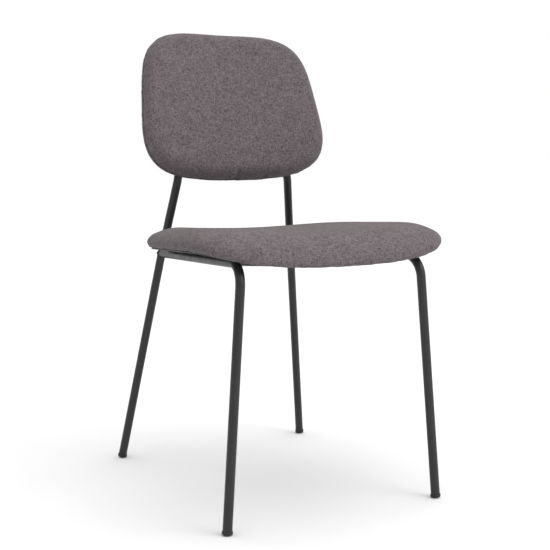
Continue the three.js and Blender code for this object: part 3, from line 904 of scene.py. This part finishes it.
def makeWasher():
    radius, thick = (v * mm for v in fixingShape["washer"])
    deselectAll()
    bpy.ops.mesh.primitive_cylinder_add(vertices=48, radius=radius, depth=thick, location=(0, 0, -thick / 2))
    washer = newest("washer_pattern")
    bpy.ops.object.mode_set(mode="EDIT")
    pick("FACE", lambda f: f.normal.z < -0.9)
    bpy.ops.mesh.inset(thickness=radius - 3.3 * mm)
    growFace(1, 1, 0.8 * mm)
    pick("EDGE", lambda e: e.calc_face_angle(0) > 1)
    bpy.ops.mesh.bevel(offset=0.25 * mm, segments=2, affect="EDGES")
    faceOut()
    return washer


def makeBolt():
    radius, high = (v * mm for v in fixingShape["head"])
    socket, deep = (v * mm for v in fixingShape["socket"])
    deselectAll()
    bpy.ops.mesh.primitive_cylinder_add(vertices=48, radius=radius, depth=high, location=(0, 0, -high / 2))
    bolt = newest("bolt_pattern")
    bpy.ops.object.mode_set(mode="EDIT")
    pick("EDGE", lambda e: all(v.co.z < -high * 0.9 for v in e.verts))
    bpy.ops.mesh.bevel(offset=1.5 * mm, segments=6, affect="EDGES")
    pick("FACE", lambda f: f.normal.z > 0.9)
    bpy.ops.mesh.inset(thickness=radius - 3 * mm)
    growFace(1, 1, 10 * mm)
    faceOut()
    deselectAll()
    bpy.ops.mesh.primitive_cylinder_add(vertices=6, radius=socket, depth=2 * deep, location=(0, 0, -high))
    key = newest("key")
    drilled = bolt.modifiers.new("socket", "BOOLEAN")
    drilled.object = key
    drilled.operation = "DIFFERENCE"
    applyAll(bolt)
    bpy.data.objects.remove(key)
    return bolt


patterns = {"tab": makeTab(), "washer": makeWasher(), "bolt": makeBolt()}
for end, y in fixingShape["rows"].items():
    for sideName, side in (("left", 1), ("right", -1)):
        x = side * (railX(y) - fixingShape["tab"][0] + fixingShape["hole inset"])
        normal = seatNormal(x, y)
        origin = Vector((x, y, seatBase(x, y)))
        name = f"{end}_{sideName}"
        facing = alignTo(inRow(origin), normal)
        turned = facing @ Matrix.Rotation(0 if side > 0 else math.pi, 4, "Z")
        tab = copyAs(patterns["tab"], f"welded_tab_{name}", turned)
        finishPiece(tab, coat, "frame", f"seat_tab_{name}")
        underTab = alignTo(inRow(origin - normal * fixingShape["washer drop"]), normal)
        washer = copyAs(patterns["washer"], f"flat_washer_{name}", underTab)
        finishPiece(washer, steel, "fastener", f"seat_washer_{name}")
        underWasher = alignTo(inRow(origin - normal * fixingShape["head drop"]), normal)
        bolt = copyAs(patterns["bolt"], f"socket_bolt_{name}", underWasher)
        finishPiece(bolt, steel, "fastener", f"seat_bolt_{name}")
        for piece in (tab, washer, bolt):
            smoothShade(piece)
for pattern in patterns.values():
    bpy.data.objects.remove(pattern)
print("seat bolted down")


# backrest

backShape = {
    "half": (184, 147),
    "taper": 0.096,
    "powers": (3.95, 3.77),  # upper half, lower half
    "front": {"depth": 32, "edge": 22, "face": 4.8},  # face: from the seam to the panel inside
    "rear": {"depth": 24, "edge": 20, "face": 4.2},
    "dome": 4,
    "panel inset": 16,
    "seam roll": 1.8,
    "voxel": 5,
    "pressure": 4,
    "cap": 1.2,
    "start smaller": 1.0,
    "folds": (  # across, depth, width, reach up
        (-1, 2.6, 5.0, 20),
        (58, 2.2, 6.0, 17),
        (-74, 0.9, 8.0, 14),
        (108, 0.8, 8.0, 14),
    ),
}


def backRings(depth, edge, panelFace):
    b = backShape
    smaller, rim, roll = b["start smaller"], b["panel inset"] - padClearance, b["seam roll"]
    seamGap = 0.15
    rings = [(rim, k, panelFace + padClearance) for k in (0.2, 0.6, 1)] + [(rim, 1, seamGap)]
    rings += [(smaller + roll, 1, seamGap), (smaller + roll * 0.3, 1, roll * 0.4)]
    low = math.asin(roll * 1.2 / depth)
    rings += edgeRound(depth, edge, smaller, low)
    top = depth - smaller
    return rings + [(smaller + edge, k, top + b["dome"] * (1 - k * k)) for k in (0.9, 0.7, 0.45, 0.15)]


def heldBack(points):
    return points[:, 2] < 3.5 * mm


seamWaves = ((29, 0.20, 1.0), (43, 0.16, 3.3), (61, 0.13, 0.2), (89, 0.10, 5.0))


def softenBack(depth, folds):
    def soften(pad):
        b = backShape
        points, normals = pointsOf(pad), normalsOf(pad)
        x, v, h = (points / mm).T
        outer = h > 0.5
        push = ripple(x, v, b, seamWaves) * np.exp(-np.maximum(h - 2, 0) / 8) * outer
        push += 0.3 * np.sin(x / 31 + 1.1) * np.sin(v / 36 + 0.3) * (h > depth * 0.8)
        for place, deep, wide, reach in folds:
            bottom = (v + b["half"][1]) / reach
            near = np.exp(-((x - place) / wide) ** 2) * np.exp(-np.maximum(bottom, 0) ** 1.5)
            push -= deep * near * outer * np.clip(h / 6, 0, 1)
        points = points + normals * (push * mm)[:, None]
        setPoints(pad, points)
        drop = np.maximum(depth - h, 0)
        setWeaveMap(pad, points[:, :2] + edgeDirection(points[:, 0], points[:, 1], b) * (drop * mm)[:, None])
    return soften


def makeBackPad(name, half, side, folds, *nodes):
    depth = backShape[half]["depth"]
    rings = backRings(depth, backShape[half]["edge"], backShape[half]["face"])
    pad = softPad(name, backShape, rings, heldBack, softenBack(depth, folds), depth + backShape["dome"])
    setPoints(pad, onBack(pointsOf(pad), side))
    takeUp(pad)
    bpy.ops.object.mode_set(mode="EDIT")
    faceOut()
    smoothShade(pad, 60)
    finishPiece(pad, cloth, "cover", *nodes)


makeBackPad("back_front_pad", "front", -1, backShape["folds"], "back_front_cover", "back_front_foam")
makeBackPad("back_rear_pad", "rear", 1, (), "back_rear_cover", "back_rear_foam")
print("backrest upholstered")


# the fixings buried in the upholstery

buried = {"seat_nut": steel, "back_bolt": steel, "back_nut": steel, "back_panel": ply}
for name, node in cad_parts.items():
    for start, material in buried.items():
        if name.startswith(start):
            node.data.materials.clear()
            node.data.materials.append(material)


# floor and light

studio = {
    "floor": {"shade": 0.76, "size": 40, "drop": 0.2},
    "bright side": (0.75, 0.6, 0.25),
    "fade": (-1, 0.3, 0.5, 1),  # the surround dims to half strength, away from the bright side
    "top": {"strength": 1.65, "spread": 80, "turn": (8, 6, 0)},  # an even light from above
    "key": {"power": 30, "size": 1.8, "place": (1.5, -2.4, 2.2), "aim": (0, 0, 0.45)},
}

deselectAll()
floorShape = studio["floor"]
bpy.ops.mesh.primitive_grid_add(
    x_subdivisions=8, y_subdivisions=8, size=floorShape["size"], location=(0, 0, -floorShape["drop"] * mm),
)
floor = newest("floor")
floorPaint, floorTree, floorShader = newMaterial("floor_paint")
shade = floorShape["shade"]
patchy = stretch(floorTree, surfaceNoise(floorTree, 3.0), 0.3, 0.7)
tint = blendColours(floorTree, patchy, (shade * 0.99,) * 3, (shade * 1.01,) * 3)
floorTree.links.new(tint, floorShader.inputs["Base Color"])
floorShader.inputs["Roughness"].default_value = 1
floorShader.inputs["Specular IOR Level"].default_value = 0
floor.data.materials.append(floorPaint)

world = bpy.data.worlds.new("studio")
scene.world = world
world.use_nodes = True
worldTree = world.node_tree
worldTree.nodes["Background"].inputs[0].default_value = (1, 1, 1, 1)
direction = put(worldTree, "TexCoord").outputs["Generated"]
dot = {"operation": "DOT_PRODUCT"}
towards = put(worldTree, "VectorMath", dot, i0=direction, i1=studio["bright side"]).outputs["Value"]
strength = stretch(worldTree, towards, *studio["fade"])
worldTree.links.new(strength, worldTree.nodes["Background"].inputs[1])

topLight = bpy.data.objects.new("top_light", bpy.data.lights.new("top_light", "SUN"))
topLight.data.energy = studio["top"]["strength"]
topLight.data.angle = math.radians(studio["top"]["spread"])
topLight.rotation_euler = [math.radians(a) for a in studio["top"]["turn"]]
scene.collection.objects.link(topLight)
keyLight = bpy.data.objects.new("key_light", bpy.data.lights.new("key_light", "AREA"))
keyLight.data.energy = studio["key"]["power"]
keyLight.data.size = studio["key"]["size"]
keyLight.location = studio["key"]["place"]
aim = Vector(studio["key"]["aim"]) - keyLight.location
keyLight.rotation_euler = aim.to_track_quat("-Z", "Y").to_euler()
scene.collection.objects.link(keyLight)

scene.view_settings.view_transform = "Standard"
scene.view_settings.look = "None"
print("studio lit")
